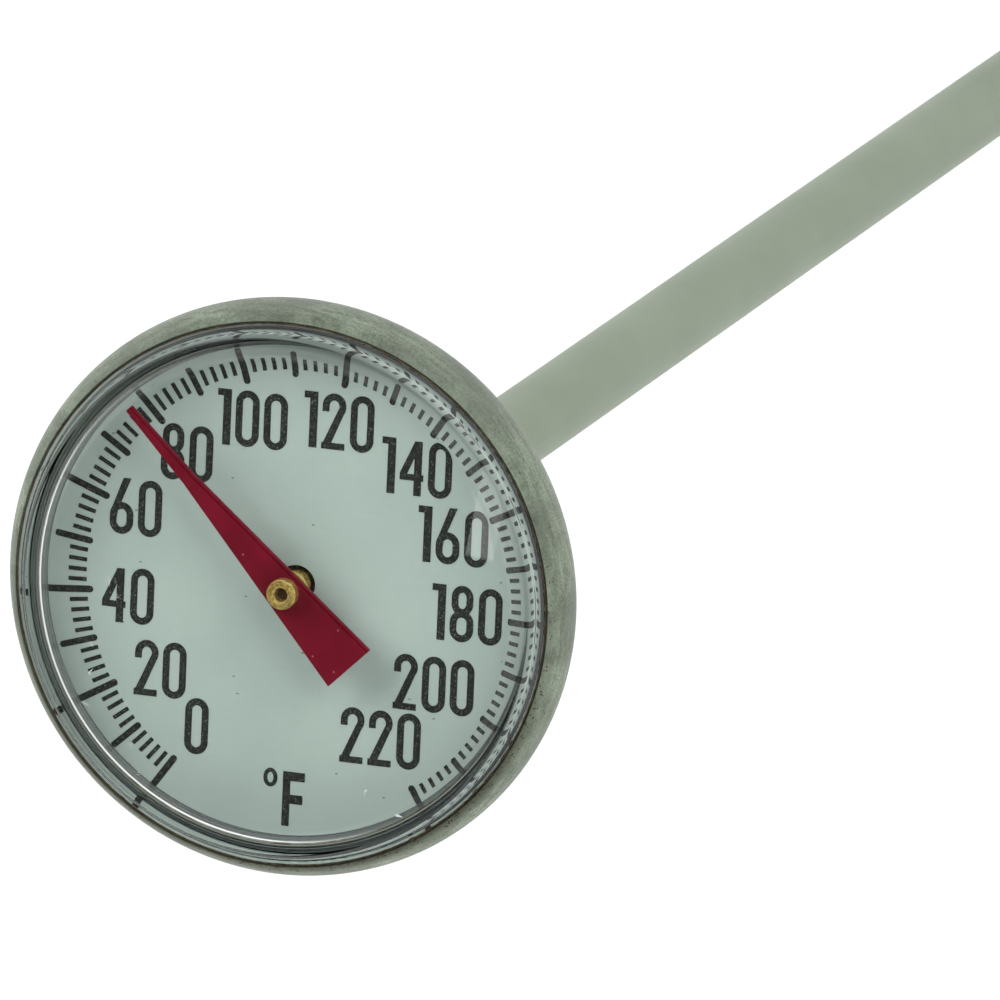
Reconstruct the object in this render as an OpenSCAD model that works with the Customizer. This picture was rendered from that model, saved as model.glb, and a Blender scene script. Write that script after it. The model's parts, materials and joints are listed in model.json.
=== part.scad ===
// Pocket dial thermometer: a 1 inch bimetal dial on a 5 inch stem.
// Z runs along the stem to the dial, which faces +Z with its numerals upright along +Y.
// The origin is on the stem's axis, at the underside of the hex fitting.

/* [Stem] */
// Outside diameter of the stem tube
stem_d = 3.8; // [3.6:0.1:4]
// Wall of the stem tube
stem_wall = 0.35; // [0.3:0.05:0.35]
// Immersion length, from the hex fitting to the tip
stem_len = 127; // [110:1:150]
// Length of the tapered tip
tip_len = 3.4; // [2.5:0.1:5]
// Radius of the blunt end of the tip
tip_end_r = 0.8; // [0.6:0.1:1.2]

/* [Bezel and case] */
// Outside diameter of the bezel
head_d = 28; // [27.8:0.1:28.4]
// Radius of the bezel's round section
bezel_section = 2.5; // [2.4:0.05:2.6]
// Sheet thickness of the bezel
bezel_wall = 0.3; // [0.2:0.05:0.35]
// Inside diameter of the bezel's lip
lip_d = 26.3; // [26.2:0.05:26.4]
// Outside diameter of the cup behind the bezel
cup_d = 23.6; // [23:0.1:23.6]
// Sheet thickness of the cup
cup_wall = 0.4; // [0.3:0.05:0.4]
// Depth of the cup's back below the widest part of the bezel
cup_depth = 4.2; // [4:0.1:5]

/* [Crystal] */
// Thickness of the crystal over the dial
crystal_t = 0.8; // [0.7:0.1:1.2]
// Height of the middle of the crystal over the dial
crystal_rise = 4.95; // [4.9:0.05:5.2]
// Radius of the crystal's domed top
dome_r = 50.7; // [50:0.1:54]
// Radius of the crystal's rounded shoulder
shoulder_r = 0.42; // [0.4:0.01:0.5]
// Radius of the hollow where the shoulder runs out into the brim
root_r = 0.6; // [0.5:0.05:0.6]
// Radius where the shoulder's round turns into the hollow
shoulder_end_r = 12.77; // [12.7:0.01:12.8]
// Slope of the crystal's side at that radius, in degrees
shoulder_slope = 77; // [70:1:80]
// Inside radius of the crystal's wall
cavity_r = 12.6; // [12.5:0.05:12.65]

/* [Hex fitting] */
// Width across the flats
hex_af = 8; // [7.5:0.1:9]
// Height of the hexagon
hex_h = 2.8; // [2.2:0.1:3]

/* [Dial] */
// Temperature at the end of the scale, in degrees Fahrenheit
scale_top = 220; // [120:20:220]
// Angle that the whole scale sweeps
scale_sweep = 291.5; // [240:0.5:300]
// Share by which the scale is tighter at its start and wider at its end
scale_stretch = 0.06; // [0:0.01:0.1]
// Temperature that the pointer shows, in degrees Fahrenheit
reading = 79; // [0:1:120]

/* [Pointer] */
// Distance from the shaft to the pointer's tip
pointer_reach = 11.4; // [9:0.1:11.4]
// Distance from the shaft to the pointer's tail
pointer_tail = 4.7; // [3:0.05:6]
// Diameter of the shaft
shaft_d = 0.8; // [0.6:0.05:0.9]

/* [Bimetal coil] */
// Number of turns
coil_turns = 20; // [8:1:22]
// Rise of each turn
coil_pitch = 1.9; // [1.8:0.1:2]
// Width of the strip, along the stem
strip_w = 1.5; // [1.2:0.1:1.6]
// Thickness of the strip
strip_t = 0.18; // [0.15:0.01:0.2]

/* [Hidden] */
$fn = 96;
eps = 0.01;

// Colours
bezel_steel = [0.55, 0.57, 0.52];
stem_steel = [0.66, 0.69, 0.62];
dull_steel = [0.50, 0.51, 0.49];
brass = [0.72, 0.56, 0.26];
clear = [0.80, 0.88, 0.86, 0.4];
sealant = [0.30, 0.22, 0.13];
gasket_black = [0.10, 0.10, 0.10];
dial_white = [0.74, 0.79, 0.77];
pointer_red = [0.55, 0.06, 0.17];
guide_white = [0.88, 0.87, 0.82];

// Fits
run_gap = 0.05;
seat_gap = 0.05;

// Radii shared by the stem's pieces
stem_r = stem_d / 2;
bore_r = stem_r - stem_wall;
stem_end_r = stem_r - 0.2;
shaft_r = shaft_d / 2;

// Heights, from the underside of the hex fitting
washer_h = 0.7;
cup_back_z = hex_h + washer_h;
belly_z = cup_back_z + cup_depth;
dial_z = belly_z - 0.9;
dial_t = 0.3;
gasket_t = 0.3;
flange_top_z = dial_z - dial_t - gasket_t;

// Shank that carries the head, with the washer and ring that hold the head on it
shank_r = 2.7;
cup_hole_r = shank_r + run_gap;
thrust_t = 0.35;
thrust_z = cup_back_z + cup_wall + run_gap;
ring_t = 0.5;
ring_r = 3.8;
ring_gap = 1.2;
ring_turn = 40;
groove_depth = 0.25;
ring_z = thrust_z + thrust_t;
shank_top_z = ring_z + ring_t + 0.3;
stem_top_z = shank_top_z - 0.4;
braze_r = 0.5;

// Bezel: sheet rolled to a round section, cut off at its lip and at its hem
section_x = head_d / 2 - bezel_section;
section_in = bezel_section - bezel_wall;
lip_r = lip_d / 2;
lip_z = belly_z + sqrt(pow(bezel_section, 2) - pow(lip_r - section_x, 2));
hem_angle = 80;

// Inside radius of the bezel at a height
function bezel_in_r(z) = section_x + sqrt(pow(section_in, 2) - pow(z - belly_z, 2));

// Cup
cup_r = cup_d / 2;
cup_corner = 2.4;
flange_r = bezel_in_r(flange_top_z - cup_wall) - seat_gap;
gasket_r = bezel_in_r(flange_top_z) - seat_gap;
plate_r = bezel_in_r(dial_z - dial_t) - seat_gap;

// Crystal
neck_r = lip_r - 0.06;
foot_z = dial_z;
foot_step = 0.06;
foot_r = 12.9;
brim_z = belly_z + 1.1;
brim_r = bezel_in_r(brim_z) - seat_gap;
dome_z = dial_z + crystal_rise - dome_r;
cavity_corner = 1.8;
shoulder_x = shoulder_end_r - shoulder_r * sin(shoulder_slope);
shoulder_z = dome_z + sqrt(pow(dome_r - shoulder_r, 2) - pow(shoulder_x, 2));
shoulder_end_z = shoulder_z + shoulder_r * cos(shoulder_slope);
root_bite = 0.001;
root_dist = shoulder_r + root_r - root_bite;
root_x = shoulder_x + root_dist * sin(shoulder_slope);
root_z = shoulder_z + root_dist * cos(shoulder_slope);

// Pointer
pointer_t = 0.16;
pointer_z = dial_z + 1.65;
hub_r = 0.72;
hub_foot_r = 0.83;
hub_waist_r = 0.64;
hub_neck_r = 0.55;
hub_eye_r = 0.32;
hub_foot_z = dial_z + 0.7;
hub_foot_t = 0.3;
hub_top_z = dial_z + 2.5;
shaft_top_z = dial_z + 2;
plate_hole_r = 0.93;
guide_neck_r = 0.62;

// Coil, at the sensing end of the stem
coil_r = bore_r - 0.18;
coil_in_r = coil_r - strip_t;
steps_per_turn = 20;
coil_hold_r = coil_in_r * cos(180 / steps_per_turn) - eps;
coil_foot_z = -stem_len + tip_len + 4.6;
coil_len = coil_turns * coil_pitch;
coil_top_z = coil_foot_z + coil_len + strip_w;

// Angle of a temperature on the dial, clockwise from the top
function scale_angle(t) =
    let (x = t / scale_top)
    scale_sweep * (x * (1 - scale_stretch * (1 - x)) - 0.5);

module tube(r_out, r_in, z0, z1) {
    difference() {
        translate([0, 0, z0]) cylinder(r = r_out, h = z1 - z0);
        translate([0, 0, z0 - 1]) cylinder(r = r_in, h = z1 - z0 + 2);
    }
}

// Cup's outline, moved inwards by a distance
module cup_outline(inset) {
    r = cup_r - inset;
    c = cup_corner - inset;
    z = cup_back_z + inset;
    translate([0, z]) square([r - c, flange_top_z - z]);
    translate([0, z + c]) square([r, flange_top_z - z - c]);
    intersection() {
        translate([r - c, z + c]) circle(r = c);
        translate([r - c, z]) square([c, c]);
    }
}

// Deep-drawn cup with a round back corner and a flange at its mouth
module case_cup() {
    color(bezel_steel) difference() {
        rotate_extrude() {
            difference() {
                cup_outline(0);
                cup_outline(cup_wall);
                translate([0, flange_top_z - eps]) square([cup_r - cup_wall, 1]);
            }
            translate([cup_r - cup_wall, flange_top_z - cup_wall])
                square([flange_r - cup_r + cup_wall, cup_wall]);
        }
        translate([0, 0, cup_back_z - 1]) cylinder(r = cup_hole_r, h = 3);
    }
}

module bezel_ring() {
    color(bezel_steel) rotate_extrude() difference() {
        translate([section_x, belly_z]) circle(r = bezel_section);
        translate([section_x, belly_z]) circle(r = section_in);
        translate([0, belly_z]) square([lip_r, bezel_section + 1]);
        translate([section_x, belly_z])
            polygon([[0, eps], [0, 0], [cos(hem_angle) * 9, -sin(hem_angle) * 9], [-9, -9], [-9, eps]]);
    }
}

// Space under a dome whose edge is rounded into a straight wall
module rounded_dome(wall_r, big_r, round_r) {
    mid_x = wall_r - round_r;
    mid_z = dome_z + sqrt(pow(big_r - round_r, 2) - pow(mid_x, 2));
    touch_r = big_r * mid_x / (big_r - round_r);
    square([wall_r, mid_z]);
    translate([mid_x, mid_z]) circle(r = round_r);
    intersection() {
        translate([0, dome_z]) circle(r = big_r);
        translate([0, mid_z - eps]) square([touch_r, 5]);
    }
}

// Clear moulding: a brim under the bezel's lip, a neck through it and a domed top with a hollow root
module crystal() {
    color(clear) rotate_extrude() intersection() {
        difference() {
            union() {
                square([brim_r, brim_z]);
                square([neck_r, shoulder_end_z]);
                rounded_dome(shoulder_x + shoulder_r, dome_r, shoulder_r);
            }
            translate([root_x, root_z]) circle(r = root_r);
            rounded_dome(cavity_r, dome_r - crystal_t, cavity_corner);
            square([foot_r, foot_z + foot_step]);
        }
        translate([0, foot_z]) square([head_d, 9]);
    }
}

// Bead of sealant between the bezel's lip and the crystal's neck
module crystal_seal() {
    color(sealant) tube(lip_r, neck_r, lip_z - 0.4, lip_z - 0.12);
}

module case_gasket() {
    color(gasket_black) tube(gasket_r, cup_r - cup_wall, flange_top_z, flange_top_z + gasket_t);
}

module dial_plate() {
    color(dial_white) tube(plate_r, plate_hole_r, dial_z - dial_t, dial_z);
}

// Hexagon with its corners turned off at both ends
module hexagon() {
    corner_r = hex_af / sqrt(3);
    turned_r = hex_af / 2 + 0.2;
    turned_h = (corner_r - turned_r) * 0.6;
    intersection() {
        cylinder(r = corner_r, h = hex_h, $fn = 6);
        rotate_extrude() polygon([
            [0, 0], [turned_r, 0], [corner_r + eps, turned_h],
            [corner_r + eps, hex_h - turned_h], [turned_r, hex_h], [0, hex_h],
        ]);
    }
}

module hex_fitting() {
    color(bezel_steel) difference() {
        union() {
            hexagon();
            cylinder(r = shank_r, h = shank_top_z);
        }
        translate([0, 0, -1]) cylinder(r = stem_end_r, h = stem_top_z + 1);
        translate([0, 0, -1]) cylinder(r = bore_r, h = shank_top_z + 2);
        translate([0, 0, -1]) cylinder(r = stem_r + braze_r + 1, h = 1);
        cylinder(r1 = stem_r + braze_r, r2 = stem_end_r, h = braze_r);
        tube(shank_r + 1, shank_r - groove_depth, ring_z, ring_z + ring_t);
    }
}

// Braze that fills the countersink between the stem and the hex fitting
module braze_ring() {
    color(dull_steel) difference() {
        cylinder(r1 = stem_r + braze_r, r2 = stem_end_r, h = braze_r);
        translate([0, 0, -1]) cylinder(r = stem_end_r, h = 3);
        rotate_extrude() translate([stem_r + braze_r / 2, -0.45]) circle(r = 0.5);
    }
}

// Spring washer: a flat ring bent into three waves round the shank
module wave_washer() {
    n = 72;
    t = 0.18;
    r_in = shank_r + 0.15;
    r_out = 4.2;
    swing = (washer_h - t - 0.04) / 2;
    points = [for (i = [0:n - 1]) let (a = 360 * i / n, z = hex_h + swing * (1 + sin(3 * a)))
        for (p = [[r_in, z], [r_out, z], [r_out, z + t], [r_in, z + t]])
            [p[0] * cos(a), p[0] * sin(a), p[1]]];
    faces = [for (i = [0:n - 1], k = [0:3])
        let (a = 4 * i, b = 4 * ((i + 1) % n), l = (k + 1) % 4)
        for (f = [[a + k, a + l, b + l], [a + k, b + l, b + k]]) f];
    color(dull_steel) polyhedron(points, faces);
}

module thrust_washer() {
    color(brass) tube(4.6, shank_r, thrust_z, ring_z);
}

// Open ring sprung into the groove of the shank
module retaining_ring() {
    color(dull_steel) difference() {
        tube(ring_r, shank_r - groove_depth, ring_z, ring_z + ring_t);
        rotate(ring_turn) translate([0, -ring_gap / 2, ring_z - 1]) cube([ring_r + 1, ring_gap, 3]);
    }
}

// Tube whose top end is turned down to fit the hex fitting
module stem_tube() {
    color(stem_steel) difference() {
        union() {
            translate([0, 0, -stem_len + tip_len]) cylinder(r = stem_r, h = stem_len - tip_len);
            cylinder(r = stem_end_r, h = stem_top_z);
        }
        translate([0, 0, -stem_len]) cylinder(r = bore_r, h = stem_len + stem_top_z + 1);
    }
}

// Closed end of the stem, with a spigot inside the tube
module stem_tip() {
    spigot = 2.2;
    ball_z = -stem_len + tip_end_r;
    color(stem_steel) {
        translate([0, 0, -stem_len + tip_len - eps]) cylinder(r = bore_r, h = spigot);
        translate([0, 0, ball_z]) cylinder(r1 = tip_end_r, r2 = stem_r, h = tip_len - tip_end_r);
        translate([0, 0, ball_z]) intersection() {
            sphere(r = tip_end_r);
            translate([0, 0, -tip_end_r]) cylinder(r = tip_end_r, h = tip_end_r);
        }
    }
}

// Plug that holds the coil's fixed end
module coil_anchor() {
    plug_z = -stem_len + tip_len + 2.4;
    color(brass) {
        translate([0, 0, plug_z]) cylinder(r = bore_r, h = 1.6);
        translate([0, 0, plug_z]) cylinder(r = coil_hold_r, h = coil_foot_z - plug_z + strip_w);
    }
}

// Helix of flat strip, swept from one rectangle to the next
module bimetal_coil() {
    n = round(coil_turns * steps_per_turn);
    points = [for (i = [0:n]) let (a = 360 * i / steps_per_turn, z = coil_foot_z + coil_len * i / n)
        for (p = [[coil_in_r, z], [coil_r, z], [coil_r, z + strip_w], [coil_in_r, z + strip_w]])
            [p[0] * cos(a), p[0] * sin(a), p[1]]];
    sides = [for (i = [0:n - 1], k = [0:3])
        let (a = 4 * i, b = 4 * (i + 1), l = (k + 1) % 4)
        for (f = [[a + k, a + l, b + l], [a + k, b + l, b + k]]) f];
    ends = [[3, 2, 1, 0], [4 * n, 4 * n + 1, 4 * n + 2, 4 * n + 3]];
    color(dull_steel) polyhedron(points, concat(sides, ends));
}

// Bush that centres the shaft in the stem
module shaft_guide(z) {
    color(guide_white) tube(bore_r, shaft_r + run_gap, z, z + 3);
}

module lower_guide() {
    shaft_guide(coil_top_z + 3);
}

module middle_guide() {
    shaft_guide(coil_top_z / 2);
}

// Brass bearing at the stem's mouth, with a neck that reaches up to the dial
module upper_guide() {
    plug = 2.2;
    collar_r = 2.2;
    collar_h = 0.3;
    color(brass) difference() {
        union() {
            translate([0, 0, stem_top_z - plug]) cylinder(r = bore_r, h = shank_top_z - stem_top_z + plug);
            translate([0, 0, shank_top_z]) cylinder(r = collar_r, h = collar_h);
            translate([0, 0, shank_top_z]) cylinder(r = guide_neck_r, h = dial_z - 0.25 - shank_top_z);
        }
        translate([0, 0, stem_top_z - plug - 1]) cylinder(r = shaft_r + run_gap, h = 10);
    }
}

// Flat needle that widens to a square tail, turned to the reading
module pointer() {
    tip_w = 0.2;
    waist_y = 7;
    waist_w = 0.36;
    tail_w = 1.4;
    outline = [
        [-tip_w, pointer_reach], [tip_w, pointer_reach], [waist_w, waist_y], [tail_w, -pointer_tail],
        [-tail_w, -pointer_tail], [-waist_w, waist_y],
    ];
    color(pointer_red) rotate(-scale_angle(reading)) difference() {
        translate([0, 0, pointer_z]) linear_extrude(pointer_t) polygon(outline);
        translate([0, 0, pointer_z - 1]) cylinder(r = hub_neck_r, h = 3);
    }
}

// Brass eyelet that clamps the pointer and grips the shaft
module pointer_hub() {
    bead_r = (hub_r - hub_eye_r) / 2;
    head_z = pointer_z + pointer_t;
    color(brass) difference() {
        union() {
            translate([0, 0, hub_foot_z]) cylinder(r = hub_foot_r, h = hub_foot_t);
            translate([0, 0, hub_foot_z]) cylinder(r = hub_waist_r, h = pointer_z - hub_foot_z);
            translate([0, 0, hub_foot_z]) cylinder(r = hub_neck_r, h = head_z - hub_foot_z + eps);
            translate([0, 0, head_z]) cylinder(r = hub_r, h = hub_top_z - bead_r - head_z);
            translate([0, 0, hub_top_z - bead_r]) rotate_extrude()
                translate([hub_eye_r + bead_r, 0]) circle(r = bead_r);
        }
        translate([0, 0, hub_foot_z - 1]) cylinder(r = shaft_r, h = shaft_top_z - hub_foot_z + 1);
        translate([0, 0, hub_foot_z]) cylinder(r = hub_eye_r, h = 3);
    }
}

module pointer_shaft() {
    foot = coil_top_z - 2;
    color(dull_steel) translate([0, 0, foot]) cylinder(r = shaft_r, h = shaft_top_z - foot);
}

// Collar that joins the coil's free end to the shaft
module coil_collar() {
    color(brass) tube(coil_hold_r, shaft_r, coil_top_z - strip_w, coil_top_z + 0.3);
}

case_cup();
bezel_ring();
crystal();
crystal_seal();
case_gasket();
dial_plate();
hex_fitting();
braze_ring();
wave_washer();
thrust_washer();
retaining_ring();
stem_tube();
stem_tip();
coil_anchor();
bimetal_coil();
lower_guide();
middle_guide();
upper_guide();
pointer();
pointer_hub();
pointer_shaft();
coil_collar();
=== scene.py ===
"""Looks of a pocket dial thermometer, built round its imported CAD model.

Sizes are in millimetres and angles in degrees, unless named otherwise.
"""

import json
import math
import random

import bmesh
import bpy
from mathutils import Matrix, Vector, noise
from mathutils.geometry import delaunay_2d_cdt


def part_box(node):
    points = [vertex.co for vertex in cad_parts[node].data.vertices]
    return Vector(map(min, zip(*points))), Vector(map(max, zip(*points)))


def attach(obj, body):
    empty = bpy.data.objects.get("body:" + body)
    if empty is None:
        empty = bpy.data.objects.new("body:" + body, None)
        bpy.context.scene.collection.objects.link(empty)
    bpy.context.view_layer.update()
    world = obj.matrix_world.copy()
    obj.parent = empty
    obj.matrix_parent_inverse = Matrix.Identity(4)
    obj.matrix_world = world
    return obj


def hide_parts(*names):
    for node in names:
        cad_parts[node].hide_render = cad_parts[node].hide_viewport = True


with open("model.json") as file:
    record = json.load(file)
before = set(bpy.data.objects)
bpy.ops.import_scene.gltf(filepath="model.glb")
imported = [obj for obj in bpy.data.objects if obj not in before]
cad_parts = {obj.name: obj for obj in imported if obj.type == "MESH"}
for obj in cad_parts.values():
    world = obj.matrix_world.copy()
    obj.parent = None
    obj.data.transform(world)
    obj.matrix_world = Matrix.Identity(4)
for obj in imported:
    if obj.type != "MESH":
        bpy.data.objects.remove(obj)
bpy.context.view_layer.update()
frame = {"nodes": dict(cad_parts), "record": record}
MM = 0.001

# Places taken from the frame
DIAL_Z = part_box("dial_plate")[1].z / MM
HEAD_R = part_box("bezel_ring")[1].x / MM
CRYSTAL_TOP_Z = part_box("crystal")[1].z / MM
BRIM_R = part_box("crystal")[1].x / MM
TIP_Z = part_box("stem_tip")[0].z / MM
HUB_FOOT_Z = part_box("pointer_hub")[0].z / MM
HUB_TOP_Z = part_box("pointer_hub")[1].z / MM
POINTER_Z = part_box("pointer")[0].z / MM
POINTER_TOP_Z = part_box("pointer")[1].z / MM
LIP_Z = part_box("bezel_ring")[1].z / MM
SEAL_TOP_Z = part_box("crystal_seal")[1].z / MM
SHAFT_TOP_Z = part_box("pointer_shaft")[1].z / MM

# Rolled section of the bezel, whose widest place is the belly
BELLY_RISE = 0.9
BELLY_Z = DIAL_Z + BELLY_RISE
SECTION_R = 2.5
SECTION_X = HEAD_R - SECTION_R
SHEET = 0.3


# ---------------------------------------------------------------- outlines


def arc(x, y, rx, start, end, steps, ry=None):
    """Points along a round or oval arc."""
    ry = rx if ry is None else ry
    angles = [math.radians(start + (end - start) * i / steps) for i in range(steps + 1)]
    return [(x + rx * math.cos(a), y + ry * math.sin(a)) for a in angles]


def polar(angle):
    """Unit vector at an angle clockwise from the top of the dial."""
    a = math.radians(angle)
    return Vector((math.sin(a), math.cos(a)))


# ---------------------------------------------------------------- meshes


def finish_mesh(name, bm, body, material, replaced=(), sharp=32):
    """Makes an object in metres of a bmesh in millimetres, smooth but for its edges, on its body."""
    bmesh.ops.remove_doubles(bm, verts=bm.verts, dist=1e-5)
    bmesh.ops.recalc_face_normals(bm, faces=bm.faces)
    bmesh.ops.scale(bm, vec=(MM, MM, MM), verts=bm.verts)
    mesh = bpy.data.meshes.new(name)
    bm.to_mesh(mesh)
    bm.free()
    mesh.shade_smooth()
    mesh.set_sharp_from_angle(angle=math.radians(sharp))
    mesh.materials.append(material)
    piece = bpy.data.objects.new(name, mesh)
    bpy.context.collection.objects.link(piece)
    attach(piece, body)
    if replaced:
        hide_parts(*replaced)
    return piece


def lathe(profile, steps, wobble=None):
    """Closed solid of revolution round Z. A point at radius 0 is one vertex, and a wobble moves the rest."""
    bm = bmesh.new()
    rings = []
    for k, (r, z) in enumerate(profile):
        if r < 1e-6:
            rings.append([bm.verts.new((0, 0, z))])
            continue
        ring = []
        for i in range(steps):
            a = 2 * math.pi * i / steps
            dr, dz = wobble(a, k) if wobble else (0, 0)
            ring.append(bm.verts.new(((r + dr) * math.cos(a), (r + dr) * math.sin(a), z + dz)))
        rings.append(ring)
    for lower, upper in zip(rings, rings[1:] + rings[:1]):
        for i in range(steps):
            j = (i + 1) % steps
            corners = [lower[i % len(lower)], lower[j % len(lower)]]
            corners += [upper[j % len(upper)], upper[i % len(upper)]]
            corners = list(dict.fromkeys(corners))
            if len(corners) > 2:
                bm.faces.new(corners)
    return bm


def prism(outlines, z0, z1):
    """Closed solid between two heights over the union of flat outlines, which may overlap."""
    verts = []
    faces = []
    for outline in outlines:
        turned = sum(a[0] * b[1] - a[1] * b[0] for a, b in zip(outline, outline[1:] + outline[:1]))
        faces.append(list(range(len(verts), len(verts) + len(outline))))
        verts += [Vector(p) for p in (outline if turned > 0 else reversed(outline))]
    flat, _, cells, _, _, origins = delaunay_2d_cdt(verts, [], faces, 0, 1e-6)
    bm = bmesh.new()
    points = [bm.verts.new((p.x, p.y, z0)) for p in flat]
    for cell, origin in zip(cells, origins):
        if origin:
            bm.faces.new([points[i] for i in cell])
    bmesh.ops.delete(bm, geom=[v for v in bm.verts if not v.link_faces], context="VERTS")
    bmesh.ops.dissolve_limit(bm, angle_limit=math.radians(0.5), verts=bm.verts, edges=bm.edges)
    top = bmesh.ops.extrude_face_region(bm, geom=bm.faces[:])
    raised = [g for g in top["geom"] if isinstance(g, bmesh.types.BMVert)]
    bmesh.ops.translate(bm, vec=(0, 0, z1 - z0), verts=raised)
    return bm


# ---------------------------------------------------------------- material nodes


X, Y, Z = range(3)


class Shader:
    """A material with short calls for the nodes that its colour, roughness and bump come from."""

    def __init__(self, name, **values):
        self.material = bpy.data.materials.new(name)
        self.material.use_nodes = True
        self.tree = self.material.node_tree
        self.bsdf = self.tree.nodes["Principled BSDF"]
        self.place = self.tree.nodes.new("ShaderNodeTexCoord").outputs["Object"]
        for key, value in values.items():
            self.set(key.replace("_", " "), value)

    def feed(self, socket, value):
        """Links a node's output to a socket, or sets the socket to a number or a colour."""
        if isinstance(value, bpy.types.NodeSocket):
            self.tree.links.new(value, socket)
        elif isinstance(value, tuple):
            socket.default_value = (*value, 1)
        else:
            socket.default_value = value

    def set(self, name, value):
        self.feed(self.bsdf.inputs[name], value)

    def math(self, operation, a, b=0.0):
        node = self.tree.nodes.new("ShaderNodeMath")
        node.operation = operation
        self.feed(node.inputs[0], a)
        self.feed(node.inputs[1], b)
        return node.outputs[0]

    def length(self, x, y):
        """Length of the flat vector x, y."""
        return self.math("SQRT", self.math("ADD", self.math("MULTIPLY", x, x), self.math("MULTIPLY", y, y)))

    def stretched(self, x, y, z):
        """Object coordinates times these factors per metre."""
        node = self.tree.nodes.new("ShaderNodeMapping")
        node.inputs["Scale"].default_value = (x, y, z)
        self.tree.links.new(self.place, node.inputs["Vector"])
        return node.outputs[0]

    def round_place(self, around, radial, up):
        """Coordinates that run round the Z axis, outwards and up, in features per millimetre."""
        split = self.tree.nodes.new("ShaderNodeSeparateXYZ")
        self.tree.links.new(self.place, split.inputs[0])
        x, y, z = split.outputs
        radius = self.length(x, y)
        turn_x = self.math("MULTIPLY", self.math("DIVIDE", x, radius), HEAD_R * around)
        turn_y = self.math("MULTIPLY", self.math("DIVIDE", y, radius), HEAD_R * around)
        outward = self.math("MULTIPLY", radius, radial / MM)
        depth = self.math("ADD", outward, self.math("MULTIPLY", z, up / MM))
        join = self.tree.nodes.new("ShaderNodeCombineXYZ")
        for socket, value in zip(join.inputs, (turn_x, turn_y, depth)):
            self.tree.links.new(value, socket)
        return join.outputs[0]

    def noise(self, where, scale, detail=3.0, rough=0.55):
        node = self.tree.nodes.new("ShaderNodeTexNoise")
        for key, value in (("Scale", scale), ("Detail", detail), ("Roughness", rough)):
            node.inputs[key].default_value = value
        self.tree.links.new(where, node.inputs["Vector"])
        return node.outputs["Fac"]

    def specks(self, where, scale, size, keep):
        """1 inside the kept share of small dots scattered over a face that looks up, 0 elsewhere."""
        node = self.tree.nodes.new("ShaderNodeTexVoronoi")
        node.voronoi_dimensions = "2D"
        node.inputs["Scale"].default_value = scale
        self.tree.links.new(where, node.inputs["Vector"])
        dots = self.math("LESS_THAN", node.outputs["Distance"], size)
        pick = self.tree.nodes.new("ShaderNodeSeparateColor")
        self.tree.links.new(node.outputs["Color"], pick.inputs[0])
        return self.math("MULTIPLY", dots, self.math("LESS_THAN", pick.outputs[0], keep))

    def ramp(self, fac, *stops):
        """Grey or colour at each place along a factor, blended between the stops."""
        node = self.tree.nodes.new("ShaderNodeValToRGB")
        elements = node.color_ramp.elements
        while len(elements) < len(stops):
            elements.new(0.5)
        for element, (at, value) in zip(elements, stops):
            element.position = at
            element.color = (*value, 1) if isinstance(value, tuple) else (value, value, value, 1)
        self.tree.links.new(fac, node.inputs["Fac"])
        return node.outputs["Color"]

    def mix(self, fac, a, b, blend="MIX"):
        node = self.tree.nodes.new("ShaderNodeMix")
        node.data_type = "RGBA"
        node.blend_type = blend
        self.feed(node.inputs["Factor"], fac)
        self.feed(node.inputs[6], a)
        self.feed(node.inputs[7], b)
        return node.outputs[2]

    def ring_depth(self):
        """Distance from the middle of the bezel's rolled section and height over its belly, in mm."""
        split = self.tree.nodes.new("ShaderNodeSeparateXYZ")
        self.tree.links.new(self.place, split.inputs[0])
        x, y, z = (self.math("MULTIPLY", part, 1 / MM) for part in split.outputs)
        out = self.math("SUBTRACT", self.length(x, y), SECTION_X)
        up = self.math("SUBTRACT", z, BELLY_Z)
        return self.length(out, up), up

    def along(self, axis, start, end):
        """0 at a start place and 1 at an end place along an axis, in millimetres."""
        split = self.tree.nodes.new("ShaderNodeSeparateXYZ")
        self.tree.links.new(self.place, split.inputs[0])
        node = self.tree.nodes.new("ShaderNodeMapRange")
        node.inputs["From Min"].default_value = start * MM
        node.inputs["From Max"].default_value = end * MM
        self.tree.links.new(split.outputs[axis], node.inputs["Value"])
        return node.outputs["Result"]

    def bump(self, height, distance, strength):
        """Bends the normal by a height, whose full swing is a distance in millimetres."""
        node = self.tree.nodes.new("ShaderNodeBump")
        node.inputs["Distance"].default_value = distance * MM
        node.inputs["Strength"].default_value = strength
        self.tree.links.new(height, node.inputs["Height"])
        self.tree.links.new(node.outputs["Normal"], self.bsdf.inputs["Normal"])


def per_mm(shader):
    """Object coordinates in millimetres."""
    return shader.stretched(1 / MM, 1 / MM, 1 / MM)


# ---------------------------------------------------------------- materials


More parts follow.
